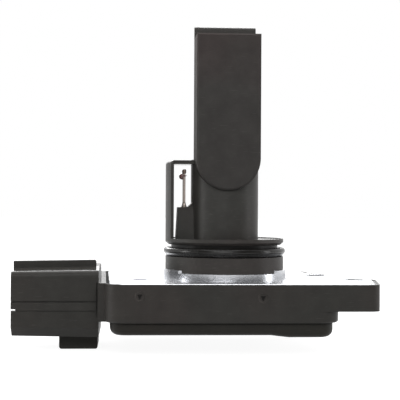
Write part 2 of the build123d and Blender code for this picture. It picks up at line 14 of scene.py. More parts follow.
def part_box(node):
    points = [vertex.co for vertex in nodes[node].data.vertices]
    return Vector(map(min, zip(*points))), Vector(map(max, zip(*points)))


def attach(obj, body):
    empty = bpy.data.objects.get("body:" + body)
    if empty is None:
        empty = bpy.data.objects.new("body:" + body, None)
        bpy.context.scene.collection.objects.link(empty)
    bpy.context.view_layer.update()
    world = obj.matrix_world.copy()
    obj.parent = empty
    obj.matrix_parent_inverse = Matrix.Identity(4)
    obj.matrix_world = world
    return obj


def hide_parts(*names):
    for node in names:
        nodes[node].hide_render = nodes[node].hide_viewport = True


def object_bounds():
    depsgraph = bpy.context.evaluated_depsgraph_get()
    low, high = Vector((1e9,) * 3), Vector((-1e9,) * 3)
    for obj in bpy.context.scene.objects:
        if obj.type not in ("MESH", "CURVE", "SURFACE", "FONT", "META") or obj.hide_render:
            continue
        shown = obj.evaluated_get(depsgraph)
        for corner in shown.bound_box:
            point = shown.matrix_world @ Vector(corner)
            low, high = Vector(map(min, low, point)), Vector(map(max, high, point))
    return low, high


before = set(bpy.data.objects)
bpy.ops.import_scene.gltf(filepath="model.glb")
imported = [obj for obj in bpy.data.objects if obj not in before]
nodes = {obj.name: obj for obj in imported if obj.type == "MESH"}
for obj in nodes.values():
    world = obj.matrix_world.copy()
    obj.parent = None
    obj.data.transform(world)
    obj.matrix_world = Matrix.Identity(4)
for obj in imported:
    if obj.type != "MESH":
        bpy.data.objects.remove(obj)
cad_low, cad_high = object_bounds()
scene = bpy.context.scene
MM = 0.001
print("CAD box in mm:", [round(v / MM, 1) for v in (*cad_low, *cad_high)])

# %% [markdown]
# ## The camera
# The photograph was taken with a long lens, level with the lower part of the stem and a little left of the probe.
# The lens could be slid sideways while the camera stays straight, or the camera could be turned. Turning is
# simpler and keeps the object centred in any other view, so the camera is mostly turned and only slid a little.

# %% Camera
PICTURE = 400
SENSOR_MM = 36.0
CAMERA_PLACE = Vector((-23.33, -230.6, 16.18)) * MM
LENS_PIXELS = 972.2
YAW, PITCH, ROLL = math.radians(3.162), math.radians(0.502), math.radians(0.33)
SHIFT = 0.05
NEAREST, FARTHEST = 0.01, 20.0

forward = Vector((math.sin(YAW) * math.cos(PITCH), math.cos(YAW) * math.cos(PITCH), math.sin(PITCH)))
level_right = Vector((math.cos(YAW), -math.sin(YAW), 0.0))
level_up = level_right.cross(forward)
right = level_right * math.cos(ROLL) + level_up * math.sin(ROLL)
up = right.cross(forward)

camera_data = bpy.data.cameras.new("camera")
camera_data.sensor_width = SENSOR_MM
camera_data.lens = LENS_PIXELS * SENSOR_MM / PICTURE
camera_data.shift_x = SHIFT
camera_data.clip_start, camera_data.clip_end = NEAREST, FARTHEST
camera = bpy.data.objects.new("camera", camera_data)
turn = Matrix((right, up, -forward)).transposed().to_4x4()
camera.matrix_world = Matrix.Translation(CAMERA_PLACE) @ turn
scene.collection.objects.link(camera)
scene.camera = camera
scene.view_settings.view_transform = "Standard"
print("lens in mm:", round(camera_data.lens, 1))

# %% [markdown]
# ## Helpers for nodes
# Shader nodes take many lines when each socket is set by hand. A few helpers say the same in one line each. The
# first makes any node, and the others, here and further down, are steps that come back often.

# %% Node helpers
def add_node(tree, kind, values=None, **settings):
    """Adds a shader node, sets its properties, and gives its inputs plain values or links."""
    node = tree.nodes.new(kind)
    for name, value in settings.items():
        setattr(node, name, value)
    for name, value in (values or {}).items():
        if isinstance(value, bpy.types.NodeSocket):
            tree.links.new(value, node.inputs[name])
        else:
            node.inputs[name].default_value = value
    return node


def ranged(tree, value, start, end, low=0.0, high=1.0, **settings):
    """Moves a value from one range to another and keeps it inside."""
    limits = {"From Min": start, "From Max": end, "To Min": low, "To Max": high}
    return add_node(tree, "ShaderNodeMapRange", {"Value": value, **limits}, **settings).outputs["Result"]


def parts_of(tree, vector):
    """The X, Y and Z outputs of a vector."""
    return add_node(tree, "ShaderNodeSeparateXYZ", {"Vector": vector}).outputs


# %% [markdown]
# ## The studio
# Product photographs of dark parts use a white room: a bright backdrop behind, which the sides mirror as thin
# rims, softer light from the front, and narrow lamps at both sides. The world is made brighter behind than in
# front by its direction, and the camera alone sees it as plain white.

# %% The room as the surfaces see it
FRONT_LEVEL, BACK_LEVEL = 0.2, 1.0
FRONT_END, BACK_START = -0.35, 0.45

world = bpy.data.worlds.new("white_room")
scene.world = world
world.use_nodes = True
tree = world.node_tree
tree.nodes.clear()
direction = parts_of(tree, add_node(tree, "ShaderNodeTexCoord").outputs["Generated"])
level = ranged(
    tree, direction["Y"], FRONT_END, BACK_START, FRONT_LEVEL, BACK_LEVEL, interpolation_type="SMOOTHSTEP"
)
room = add_node(tree, "ShaderNodeBackground", {"Color": (1, 1, 1, 1), "Strength": level})
white = add_node(tree, "ShaderNodeBackground", {"Color": (1, 1, 1, 1), "Strength": 1.0})
ray = add_node(tree, "ShaderNodeLightPath")
seen = add_node(
    tree, "ShaderNodeMixShader",
    {0: ray.outputs["Is Camera Ray"], 1: room.outputs["Background"], 2: white.outputs["Background"]},
)
add_node(tree, "ShaderNodeOutputWorld", {"Surface": seen.outputs["Shader"]})
print("room's level in front and behind:", FRONT_LEVEL, BACK_LEVEL)

# %% Lamps
LAMPS = (
    # name, place in mm, aim in mm, width and height in mm, power in watts
    ("front_soft", (-60, -420, 260), (0, 0, 10), (320, 260), 1.1),
    ("left_strip", (-330, -30, 60), (0, 0, 15), (60, 260), 0.38),
    ("right_strip", (330, -40, 60), (0, 0, 15), (60, 260), 0.26),
    ("back_high", (-30, 430, 230), (-20, 0, 0), (420, 200), 1.8),
    ("top_soft", (0, 60, 420), (0, 0, 0), (300, 300), 1.0),
)
for name, place, aim, size, power in LAMPS:
    lamp_data = bpy.data.lights.new(name, "AREA")
    lamp_data.shape = "RECTANGLE"
    lamp_data.size, lamp_data.size_y = size[0] * MM, size[1] * MM
    lamp_data.energy = power
    lamp = bpy.data.objects.new(name, lamp_data)
    lamp.location = Vector(place) * MM
    lamp.visible_camera = False
    lamp.rotation_euler = (Vector(aim) - Vector(place)).to_track_quat("-Z", "Y").to_euler()
    scene.collection.objects.link(lamp)
print("lamps:", len(LAMPS))

# %% [markdown]
# ## The floor
# The photograph shows the sensor level, as it is fitted, and not leaning as it would on a table. So a wide pale
# sheet lies just under its lowest point, the foot of the connector's catch. Part of the sheet's light is its own,
# which only the camera, metal and glass see, so that it meets the white room without a line, and the rest is plain
# paint that keeps a faint shadow.

# %% A helper for arithmetic
def arithmetic(tree, operation, *values, **settings):
    """One arithmetic step between sockets or numbers."""
    return add_node(tree, "ShaderNodeMath", dict(enumerate(values)), operation=operation, **settings).outputs[0]


# %% Floor
FLOOR_SIZE = 6.0
FLOOR_GAP = 0.02 * MM
FLOOR_OWN, FLOOR_PAINT, FLOOR_BOUNCE = 0.93, 0.3, 0.35

bpy.ops.mesh.primitive_plane_add(size=FLOOR_SIZE, location=(0, 0, cad_low.z - FLOOR_GAP))
floor = bpy.context.object
floor.name = "floor"
paint = bpy.data.materials.new("floor_paint")
paint.use_nodes = True
tree = paint.node_tree
tree.nodes.clear()
plain = add_node(tree, "ShaderNodeBsdfDiffuse", {"Color": (FLOOR_PAINT, FLOOR_PAINT, FLOOR_PAINT, 1)})
bright = add_node(tree, "ShaderNodeBsdfDiffuse", {"Color": (FLOOR_BOUNCE, FLOOR_BOUNCE, FLOOR_BOUNCE, 1)})
glow = add_node(tree, "ShaderNodeEmission", {"Color": (1, 1, 1, 1), "Strength": FLOOR_OWN})
lit = add_node(tree, "ShaderNodeAddShader", {0: plain.outputs[0], 1: glow.outputs[0]})
ray = add_node(tree, "ShaderNodeLightPath")
sees = arithmetic(tree, "MAXIMUM", ray.outputs["Is Camera Ray"], ray.outputs["Is Glossy Ray"])
sees = arithmetic(tree, "MAXIMUM", sees, ray.outputs["Is Transmission Ray"])
mix = add_node(tree, "ShaderNodeMixShader", {0: sees, 1: bright.outputs[0], 2: lit.outputs[0]})
add_node(tree, "ShaderNodeOutputMaterial", {"Surface": mix.outputs[0]})
floor.data.materials.append(paint)
print("floor at", round(floor.location.z / MM, 2), "mm")

# %% [markdown]
# ## Finishes: a shared moulded skin
# Glass-filled plastic comes out of the mould with a fine grain, a faint cloudiness and tiny pale fibres. Its black
# drifts slowly between a warm and a greenish tone, and handling leaves a few short pale scuffs. All the black
# pieces share that, so it is one node group with named dials. Faces square to the mould's pull come out
# polished, and the side walls duller, so the roughness follows the normal. The group also rounds sharp edges,
# because a real mould never leaves a knife edge and the soft highlight there makes the piece look solid.

# %% Helpers for groups
FLOAT, COLOUR, VECTOR = "NodeSocketFloat", "NodeSocketColor", "NodeSocketVector"
SURFACE = [("Color", COLOUR), ("Roughness", FLOAT), ("Normal", VECTOR)]
NOISE_LOW, NOISE_HIGH = 0.3, 0.7
EDGE_SAMPLES = 4


def new_group(name, inputs, outputs):
    """A shader node group with its sockets. Each input is a name, a socket type and a default."""
    group = bpy.data.node_groups.new(name, "ShaderNodeTree")
    for label, kind, default in inputs:
        socket = group.interface.new_socket(label, in_out="INPUT", socket_type=kind)
        socket.default_value = default
    for label, kind in outputs:
        group.interface.new_socket(label, in_out="OUTPUT", socket_type=kind)
    start = group.nodes.new("NodeGroupInput")
    end = group.nodes.new("NodeGroupOutput")
    return group, start.outputs, end.inputs


def give(tree, result, **sockets):
    """Links sockets to a group's outputs by name."""
    for label, socket in sockets.items():
        tree.links.new(socket, result[label])


def object_place(tree):
    """Each point's place in the object's own frame, in metres."""
    return add_node(tree, "ShaderNodeTexCoord").outputs["Object"]


def noise(tree, vector, scale, detail=1.0, **more):
    """A noise between 0 and 1, mostly near its middle."""
    values = {"Vector": vector, "Scale": scale, "Detail": detail, **more}
    return add_node(tree, "ShaderNodeTexNoise", values).outputs["Fac"]


def stretched_noise(tree, vector, scales, detail=1.0):
    """A noise with a scale for each axis, which makes its spots into streaks or lines."""
    stretch = add_node(tree, "ShaderNodeMapping", {"Vector": vector, "Scale": scales})
    return noise(tree, stretch.outputs[0], 1.0, detail)


def scaled(tree, vector, factor):
    """A colour or another vector, multiplied by one factor."""
    return add_node(tree, "ShaderNodeVectorMath", {0: vector, 3: factor}, operation="SCALE").outputs[0]


def rounded_relief(tree, edge_radius, strength, depth, height):
    """A normal that rounds sharp edges and carries a fine relief."""
    rounded = add_node(tree, "ShaderNodeBevel", {"Radius": edge_radius}, samples=EDGE_SAMPLES)
    values = {"Strength": strength, "Distance": depth, "Height": height, "Normal": rounded.outputs["Normal"]}
    return add_node(tree, "ShaderNodeBump", values).outputs["Normal"]


# %% Node group: moulded skin
skin, dials, result = new_group(
    "moulded_skin",
    [
        ("Base", COLOUR, (0.03, 0.03, 0.03, 1)),
        ("Cloud", FLOAT, 0.12),
        ("Fleck", FLOAT, 0.3),
        ("Drift", FLOAT, 0.6),
        ("Scuff", FLOAT, 0.5),
        ("Roughness", FLOAT, 0.5),
        ("Polished Roughness", FLOAT, 0.25),
        ("Grain", FLOAT, 0.2),
        ("Grain Size", FLOAT, 7000.0),
        ("Edge Radius", FLOAT, 0.12 * MM),
    ],
    SURFACE,
)
place = object_place(skin)

# %% Moulded skin: colour
CLOUD_SCALE, CLOUD_DETAIL, CLOUD_FADE = 260.0, 4.0, 0.6
FIBRE_SCALE = 9000.0
SCUFF_SCALES = (420.0, 420.0, 5200.0)
RARE_START, RARE_END = 0.66, 0.76
DRIFT_SCALE, DRIFT_START, DRIFT_END = 38.0, 0.42, 0.58
WARM_TINT = (1.12, 0.99, 1.0)

cloud = noise(skin, place, CLOUD_SCALE, CLOUD_DETAIL, Roughness=CLOUD_FADE)
fibre = noise(skin, place, FIBRE_SCALE)
streak = stretched_noise(skin, place, SCUFF_SCALES)
lift = arithmetic(skin, "MULTIPLY", ranged(skin, cloud, NOISE_LOW, NOISE_HIGH, -1.0, 1.0), dials["Cloud"])
for source, dial in ((fibre, "Fleck"), (streak, "Scuff")):
    pale = arithmetic(skin, "MULTIPLY", ranged(skin, source, RARE_START, RARE_END), dials[dial])
    lift = arithmetic(skin, "ADD", lift, pale)
lift = arithmetic(skin, "ADD", lift, 1.0)

drift = ranged(skin, noise(skin, place, DRIFT_SCALE), DRIFT_START, DRIFT_END)
drift = arithmetic(skin, "MULTIPLY", drift, dials["Drift"])
warm = add_node(skin, "ShaderNodeVectorMath", {0: dials["Base"], 1: WARM_TINT}, operation="MULTIPLY")
tone = add_node(skin, "ShaderNodeMix", {0: drift, 6: dials["Base"], 7: warm.outputs[0]}, data_type="RGBA")
give(skin, result, Color=scaled(skin, tone.outputs[2], lift))

# %% Moulded skin: roughness and relief
ROUGH_SWING = 0.05
WALL_END, POLISH_START = 0.85, 0.97
GRAIN_DETAIL, GRAIN_DEPTH = 2.0, 0.02 * MM

facing = parts_of(skin, add_node(skin, "ShaderNodeTexCoord").outputs["Normal"])
square = arithmetic(skin, "ABSOLUTE", facing["Z"])
rough = ranged(skin, square, WALL_END, POLISH_START, dials["Roughness"], dials["Polished Roughness"])
swing = ranged(skin, cloud, NOISE_LOW, NOISE_HIGH, -ROUGH_SWING, ROUGH_SWING)
grain = noise(skin, place, dials["Grain Size"], GRAIN_DETAIL)
give(
    skin, result,
    Roughness=arithmetic(skin, "ADD", rough, swing, use_clamp=True),
    Normal=rounded_relief(skin, dials["Edge Radius"], dials["Grain"], GRAIN_DEPTH, grain),
)
print("moulded skin's nodes:", len(skin.nodes))

# %% [markdown]
# ## Plastics and rubber
# One black for all would be quicker, but the body, the probe, its cover and the lid were moulded apart, and their
# blacks and their gloss differ a little. So each gets a material with its own Principled shader, and only colour,
# roughness and normal come from the shared group.

# %% Materials from the moulded skin
def skinned_material(name, group, dial_values, **shader_values):
    """A Principled material whose colour, roughness and normal come from a shared group."""
    material = bpy.data.materials.new(name)
    material.use_nodes = True
    tree = material.node_tree
    shader = tree.nodes["Principled BSDF"]
    used = add_node(tree, "ShaderNodeGroup", dial_values, node_tree=group)
    for label, socket in (("Color", "Base Color"), ("Roughness", "Roughness"), ("Normal", "Normal")):
        tree.links.new(used.outputs[label], shader.inputs[socket])
    for label, value in shader_values.items():
        shader.inputs[label.replace("_", " ")].default_value = value
    return material


def plastic(
    name, colour, roughness, polished=None, grain=0.2, cloud=0.12, fleck=0.3, drift=0.6, scuff=0.5, edge=0.06,
    specular=0.35,
):
    """A moulded skin with its dials. Without a polished roughness, all faces are equally rough."""
    return skinned_material(
        name, skin,
        {
            "Base": (*colour, 1), "Cloud": cloud, "Fleck": fleck, "Drift": drift, "Scuff": scuff,
            "Roughness": roughness, "Polished Roughness": roughness if polished is None else polished,
            "Grain": grain, "Edge Radius": edge * MM,
        },
        Specular_IOR_Level=specular,
    )


SMOOTH = {"fleck": 0.0, "scuff": 0.0, "edge": 0.02}

body_plastic = plastic(
    "body_plastic", (0.0400, 0.0385, 0.0352), 0.42, polished=0.18, scuff=0.4, edge=0.12, specular=0.12
)
lid_plastic = plastic("lid_plastic", (0.0250, 0.0238, 0.0205), 0.45, specular=0.12)
probe_plastic = plastic("probe_plastic", (0.0450, 0.0438, 0.0404), 0.42, polished=0.18, edge=0.1, specular=0.15)
cover_plastic = plastic("cover_plastic", (0.0560, 0.0530, 0.0505), 0.85, drift=0.9, scuff=0.2, specular=0.05)
seal_rubber = plastic("seal_rubber", (0.010, 0.010, 0.009), 0.26, grain=0.05, cloud=0.2, specular=0.3, **SMOOTH)
sealant = plastic("sealant", (0.004, 0.004, 0.004), 0.95, grain=0.3, cloud=0.3, specular=0.1, **SMOOTH)
lid_sealant = plastic("lid_sealant", (0.030, 0.029, 0.026), 0.6, specular=0.2, **SMOOTH)
print("materials so far:", len(bpy.data.materials))

# %% [markdown]
# ## The sealant's wiped end
# The bead of sealant is dull where it was laid, and smooth towards the right, where a tool wiped it off. That is one
# slow change along X, so the roughness comes from the place and not from a second material.

# %% Sealant's wiped end
WIPE_START, WIPE_END = 0.0, 22.0
LAID_ROUGHNESS, WIPED_ROUGHNESS = 0.95, 0.12

tree = sealant.node_tree
skin_node = next(node for node in tree.nodes if node.type == "GROUP")
place = parts_of(tree, object_place(tree))
wiped = ranged(tree, place["X"], WIPE_START * MM, WIPE_END * MM, LAID_ROUGHNESS, WIPED_ROUGHNESS)
for label in ("Roughness", "Polished Roughness"):
    tree.links.new(wiped, skin_node.inputs[label])
print("sealant is wiped smooth from", WIPE_START, "to", WIPE_END, "mm")

# %% [markdown]
# ## Moulding marks
# The near side of the tray carries two round marks, each a low ring with a small notch in its middle, where the
# mould's pins and gate touched the plastic. Their rims and nubs are real shapes, made further down. Their colour is
# painted light: a painted highlight on the ring, strongest at its lower left, and painted shade on the notch. Both
# are masks: a picture would blur up close, so a small group measures each point's distance from the mark's middle,
# which stays sharp at any size.

# %% Helpers for masks
def distance(tree, across, along):
    """The length of a step with two parts."""
    step = add_node(tree, "ShaderNodeCombineXYZ", {"X": across, "Y": along})
    return add_node(tree, "ShaderNodeVectorMath", {0: step.outputs[0]}, operation="LENGTH").outputs["Value"]


def soft_step(tree, value, start, end):
    """A mask that is 1 up to the start and fades to 0 at the end, which are given in mm."""
    return ranged(tree, value, start * MM, end * MM, 1.0, 0.0, interpolation_type="SMOOTHSTEP")


# %% Node group: mould mark
MARK_R = 0.95
NOTCH_DEPTH, NOTCH_TOP, NOTCH_SPREAD = 0.62, 0.45, 0.48
# where each mask starts to fade and where it ends, in mm
FACE_FADE = (0.1, 0.2)
RING_FADE, GLINT_SIDE_FADE = (0.06, 0.3), (-0.8, 1.2)
NOTCH_SIDE_FADE, NOTCH_TOP_FADE, NOTCH_FOOT_FADE = (-0.072, 0.24), (0.27, 0.45), (0.62, 0.806)

mark, dials, result = new_group(
    "mould_mark",
    [("Middle X", FLOAT, 0.0), ("Middle Z", FLOAT, 0.0), ("Face Y", FLOAT, 0.0)],
    [("Pale", FLOAT), ("Dark", FLOAT)],
)
place = parts_of(mark, object_place(mark))
across = arithmetic(mark, "SUBTRACT", place["X"], dials["Middle X"])
up_by = arithmetic(mark, "SUBTRACT", place["Z"], dials["Middle Z"])
face_off = arithmetic(mark, "ABSOLUTE", arithmetic(mark, "SUBTRACT", place["Y"], dials["Face Y"]))
on_face = soft_step(mark, face_off, *FACE_FADE)

ring_off = arithmetic(mark, "SUBTRACT", distance(mark, across, up_by), MARK_R * MM)
ring_off = arithmetic(mark, "ABSOLUTE", ring_off)
ring = soft_step(mark, ring_off, *RING_FADE)
# painted highlight: the ring is paler towards its lower left
glint_side = soft_step(mark, arithmetic(mark, "ADD", across, up_by), *GLINT_SIDE_FADE)
ring = arithmetic(mark, "MULTIPLY", ring, glint_side)

# painted shade on the notch in the mark's middle
half_width = arithmetic(mark, "MULTIPLY", arithmetic(mark, "ADD", up_by, NOTCH_DEPTH * MM), NOTCH_SPREAD)
notch_off = arithmetic(mark, "SUBTRACT", arithmetic(mark, "ABSOLUTE", across), half_width)
notch = soft_step(mark, notch_off, *NOTCH_SIDE_FADE)
low_enough = soft_step(mark, up_by, *NOTCH_TOP_FADE)
down_by = arithmetic(mark, "MULTIPLY", up_by, -1.0)
high_enough = soft_step(mark, down_by, *NOTCH_FOOT_FADE)
notch = arithmetic(mark, "MULTIPLY", notch, arithmetic(mark, "MULTIPLY", low_enough, high_enough))
give(
    mark, result,
    Pale=arithmetic(mark, "MULTIPLY", ring, on_face),
    Dark=arithmetic(mark, "MULTIPLY", notch, on_face),
)
print("mould mark's nodes:", len(mark.nodes))

# %% Marks on the tray
MARK_PLACES = ((-20.35, -2.5), (6.05, -2.82))
MARK_GLINT, MARK_SHADE = 0.45, 0.85
NEAR_FACE_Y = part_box("housing")[0].y


def shade_by(material, factor):
    """Multiplies a material's colour by a factor from its own tree."""
    tree = material.node_tree
    socket = tree.nodes["Principled BSDF"].inputs["Base Color"]
    tree.links.new(scaled(tree, socket.links[0].from_socket, factor), socket)


tree = body_plastic.node_tree
for x, z in MARK_PLACES:
    values = {"Middle X": x * MM, "Middle Z": z * MM, "Face Y": NEAR_FACE_Y}
    stamp = add_node(tree, "ShaderNodeGroup", values, node_tree=mark)
    # a painted highlight on the ring and painted shade on the notch
    glint_lift = arithmetic(tree, "MULTIPLY", stamp.outputs["Pale"], MARK_GLINT)
    shade_amount = arithmetic(tree, "MULTIPLY", stamp.outputs["Dark"], MARK_SHADE)
    shade_by(body_plastic, arithmetic(tree, "SUBTRACT", arithmetic(tree, "ADD", 1.0, glint_lift), shade_amount))
print("marks on the near face at", round(NEAR_FACE_Y / MM, 2), "mm")

# %% [markdown]
# ## The hollow behind the sealing ring
# The deep groove that holds the sealing ring lies in shade, and that shade is painted into the plastic's colour. A
# second material on those faces would leave a hard line. A mask from the distance to the probe's axis and from the
# height darkens the same plastic softly instead, as painted shade.

# %% Node group: painted shade in the groove
REACH_FADE, HEIGHT_FADE = 0.5, 0.2

groove_shade, dials, result = new_group(
    "groove_painted_shade",
    [("Low", FLOAT, 0.0), ("High", FLOAT, 0.0), ("Reach", FLOAT, 0.0)],
    [("Mask", FLOAT)],
)
place = parts_of(groove_shade, object_place(groove_shade))
out_by = arithmetic(groove_shade, "SUBTRACT", distance(groove_shade, place["X"], place["Y"]), dials["Reach"])
over_by = arithmetic(groove_shade, "SUBTRACT", place["Z"], dials["High"])
under_by = arithmetic(groove_shade, "SUBTRACT", dials["Low"], place["Z"])
mask = soft_step(groove_shade, out_by, 0.0, REACH_FADE)
for off_by in (over_by, under_by):
    mask = arithmetic(groove_shade, "MULTIPLY", mask, soft_step(groove_shade, off_by, 0.0, HEIGHT_FADE))
give(groove_shade, result, Mask=mask)
print("groove grease's nodes:", len(groove_shade.nodes))

# %% Painted shade in the groove
GROOVE_BELOW, GROOVE_ABOVE, GROOVE_INSET = 0.1, 2.7, 1.2
GROOVE_SHADE = 0.8

ring_low, ring_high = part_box("o_ring")
groove_low, groove_high = ring_low.z - GROOVE_BELOW * MM, ring_low.z + GROOVE_ABOVE * MM
tree = probe_plastic.node_tree
values = {"Low": groove_low, "High": groove_high, "Reach": ring_high.x - GROOVE_INSET * MM}
groove_shading = add_node(tree, "ShaderNodeGroup", values, node_tree=groove_shade)
# painted shade: this mask darkens the plastic inside the groove
shade_amount = arithmetic(tree, "MULTIPLY", groove_shading.outputs["Mask"], GROOVE_SHADE)
shade_by(probe_plastic, arithmetic(tree, "SUBTRACT", 1.0, shade_amount))
print("groove in mm, low and high:", round(groove_low / MM, 2), round(groove_high / MM, 2))

# %% [markdown]
# ## Finishes: metal
# The base plate is bright rolled sheet. Rolling leaves fine lines one way, and handling leaves a few soft marks,
# so its group stretches a noise along one axis and keeps the roughness low.

# %% Node group: rolled metal
LINE_SCALES = (300.0, 9000.0, 9000.0)
LINE_DARK, LINE_PALE, LINE_DEPTH = 0.9, 1.06, 0.01 * MM
SPOT_SCALE, SPOT_SMOOTH, SPOT_DULL = 350.0, -0.02, 0.03
METAL_DETAIL = 3.0

rolled, dials, result = new_group(
    "rolled_metal",
    [
        ("Base", COLOUR, (0.7, 0.7, 0.72, 1)),
        ("Roughness", FLOAT, 0.3),
        ("Lines", FLOAT, 0.3),
        ("Edge Radius", FLOAT, 0.1 * MM),
    ],
    SURFACE,
)
place = object_place(rolled)
lines = stretched_noise(rolled, place, LINE_SCALES, METAL_DETAIL)
spots = noise(rolled, place, SPOT_SCALE, METAL_DETAIL)
dulled = ranged(rolled, spots, NOISE_LOW, NOISE_HIGH, SPOT_SMOOTH, SPOT_DULL)
give(
    rolled, result,
    Color=scaled(rolled, dials["Base"], ranged(rolled, lines, NOISE_LOW, NOISE_HIGH, LINE_DARK, LINE_PALE)),
    Roughness=arithmetic(rolled, "ADD", dials["Roughness"], dulled, use_clamp=True),
    Normal=rounded_relief(rolled, dials["Edge Radius"], dials["Lines"], LINE_DEPTH, lines),
)


def metal(name, colour, roughness, lines=0.3, edge=0.1):
    """A rolled metal with its dials."""
    values = {"Base": (*colour, 1), "Roughness": roughness, "Lines": lines, "Edge Radius": edge * MM}
    return skinned_material(name, rolled, values, Metallic=1.0)


plate_metal = metal("plate_metal", (0.62, 0.63, 0.655), 0.26, lines=0.15, edge=0.05)
lead_metal = metal("lead_metal", (0.30, 0.26, 0.235), 0.38, edge=0.05)
# a darker copy of the lead metal, which is painted shade; the far post, its solder foot and both posts' heads take
# it
lead_metal_in_painted_shade = metal("lead_metal_in_painted_shade", (0.16, 0.12, 0.10), 0.5, edge=0.05)
bushing_metal = metal("bushing_metal", (0.6, 0.6, 0.58), 0.35)
terminal_metal = metal("terminal_metal", (0.75, 0.72, 0.62), 0.3)
print("rolled metal's nodes:", len(rolled.nodes))

# %% [markdown]
# ## Small finishes
# The glass bead, the two ceramic elements and what lies on the circuit board are a few millimetres wide, and most
# of them are hidden. Groups of their own would show no more than the moulded skin does at that size, so they take
# that group with other dials. Only the bead gets a clear coat, because it is glazed.

# %% Small finishes
bead_glass = plastic("bead_glass", (0.24, 0.13, 0.12), 0.14, grain=0.0, cloud=0.5, fleck=0.0, scuff=0.0)
bead_glass.node_tree.nodes["Principled BSDF"].inputs["Coat Weight"].default_value = 1.0
element_ceramic = plastic("element_ceramic", (0.62, 0.6, 0.56), 0.25, grain=0.05, fleck=0.0)
board_mask = plastic("board_mask", (0.02, 0.09, 0.045), 0.3, grain=0.1, fleck=0.0)
package_resin = plastic("package_resin", (0.02, 0.02, 0.02), 0.6)
capacitor_ceramic = plastic("capacitor_ceramic", (0.32, 0.22, 0.12), 0.4, fleck=0.0)
print("materials in all:", len(bpy.data.materials))

# %% [markdown]
# ## Giving each piece its finish
# A CAD piece keeps its shape and only its material slots change. The table below names each finish once.

# %% Finishes by piece
finishes = {
    "housing": body_plastic, "lid": lid_plastic, "probe_body": probe_plastic, "duct_cover": cover_plastic,
    "base_plate": plate_metal, "plate_seal": sealant, "lid_seal": lid_sealant, "o_ring": seal_rubber,
    "temperature_bead": bead_glass,
    "temperature_post_near": lead_metal, "temperature_post_far": lead_metal_in_painted_shade,
    "hot_element": element_ceramic, "cold_element": element_ceramic,
    "circuit_board": board_mask, "control_chip": package_resin, "heater_transistor": package_resin,
    "chip_capacitors": capacitor_ceramic, "bridge_resistors": package_resin,
    "ear_bushing_near": bushing_metal, "ear_bushing_far": bushing_metal,
}
for name in nodes:
    if name.startswith("support_pin"):
        finishes[name] = lead_metal
    if name.startswith("terminal"):
        finishes[name] = terminal_metal
for name, node in nodes.items():
    node.data.materials.clear()
    node.data.materials.append(finishes[name])
print("finished pieces:", len(nodes))

# %% [markdown]
# ## Small pieces
# The CAD model keeps round things coarse and leaves out what is finer than half a millimetre. Four of those show
# in the photograph: the moulding marks, the soft sealing ring, the glass bead on its wires, and the solder at the
# feet and heads of its two posts. A modifier on a simple block could round them, but each has a clear rule for its
# shape, so the points are worked out directly, in millimetres, and joined ring by ring.

# %% Helpers for meshes
def turns(count):
    """Equal steps round a circle, in radians."""
    return [2 * math.pi * n / count for n in range(count)]


def skin_rings(rings, closed):
    """Joins rings of points with four-sided faces. An open row of rings gets a cap at each end."""
    size = len(rings[0])
    points = [point for ring in rings for point in ring]
    count = len(rings)
    faces = []
    for n in range(count if closed else count - 1):
        here, there = n * size, (n + 1) % count * size
        faces += [(here + i, here + (i + 1) % size, there + (i + 1) % size, there + i) for i in range(size)]
    if not closed:
        faces += [tuple(reversed(range(size))), tuple(range((count - 1) * size, count * size))]
    return points, faces


def merged(meshes):
    """Puts several meshes, each given as points and faces, into one."""
    points, faces = [], []
    for new_points, new_faces in meshes:
        start = len(points)
        points += new_points
        faces += [tuple(start + i for i in face) for face in new_faces]
    return points, faces


def finish_piece(name, points, faces, material, slot):
    """Makes a smooth piece from points in mm, its faces turned outward. It rides with the sensor's one body."""
    mesh = bpy.data.meshes.new(name)
    mesh.from_pydata([Vector(point) * MM for point in points], [], faces)
    mesh.validate()
    turned = bmesh.new()
    turned.from_mesh(mesh)
    bmesh.ops.recalc_face_normals(turned, faces=turned.faces)
    turned.to_mesh(mesh)
    turned.free()
    for polygon in mesh.polygons:
        polygon.use_smooth = True
    mesh.materials.append(material)
    piece = bpy.data.objects.new(name, mesh)
    scene.collection.objects.link(piece)
    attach(piece, "root")
    print(name, "faces:", len(mesh.polygons))
    return piece


# %% [markdown]
# ## Rims and nubs of the marks
# Each moulding mark is a low round rim with a tiny wedge in its middle. The rim is a flattened round section turned
# about the mark's middle. The wedge is a triangle that narrows as it leaves the face.

# %% Rims and nubs
RIM_HALF_WIDTH, RIM_PROUD, RIM_SIDES, RIM_STEPS = 0.15, 0.05, 8, 40
NUB_PROUD, NUB_SUNK, NUB_TAPER = 0.06, 0.03, 0.7

face_y = NEAR_FACE_Y / MM
rim_section = [(MARK_R + RIM_HALF_WIDTH * math.cos(t), face_y + RIM_PROUD * math.sin(t)) for t in turns(RIM_SIDES)]
nub_half = (NOTCH_TOP + NOTCH_DEPTH) * NOTCH_SPREAD
nub_corners = ((-nub_half, NOTCH_TOP), (nub_half, NOTCH_TOP), (0.0, -NOTCH_DEPTH))
nub_levels = ((face_y + NUB_SUNK, 1.0), (face_y - NUB_PROUD, NUB_TAPER))

for label, (mark_x, mark_z) in zip(("left", "right"), MARK_PLACES):
    rim = [
        [(mark_x + radius * math.cos(t), y, mark_z + radius * math.sin(t)) for radius, y in rim_section]
        for t in turns(RIM_STEPS)
    ]
    nub = [[(mark_x + x * share, y, mark_z + z * share) for x, z in nub_corners] for y, share in nub_levels]
    shape = merged([skin_rings(rim, closed=True), skin_rings(nub, closed=False)])
    finish_piece(f"mould_mark_{label}", *shape, body_plastic, "black_plastic")

# %% [markdown]
# ## The sealing ring
# A radial seal for a duct has two lobes: a full one that the bore squeezes, and a smaller one that rests on the
# collar. Its section is the outline round two overlapping circles, which is easy to find along rays from a point
# that lies in both. Turning that section about the probe's axis gives the ring.

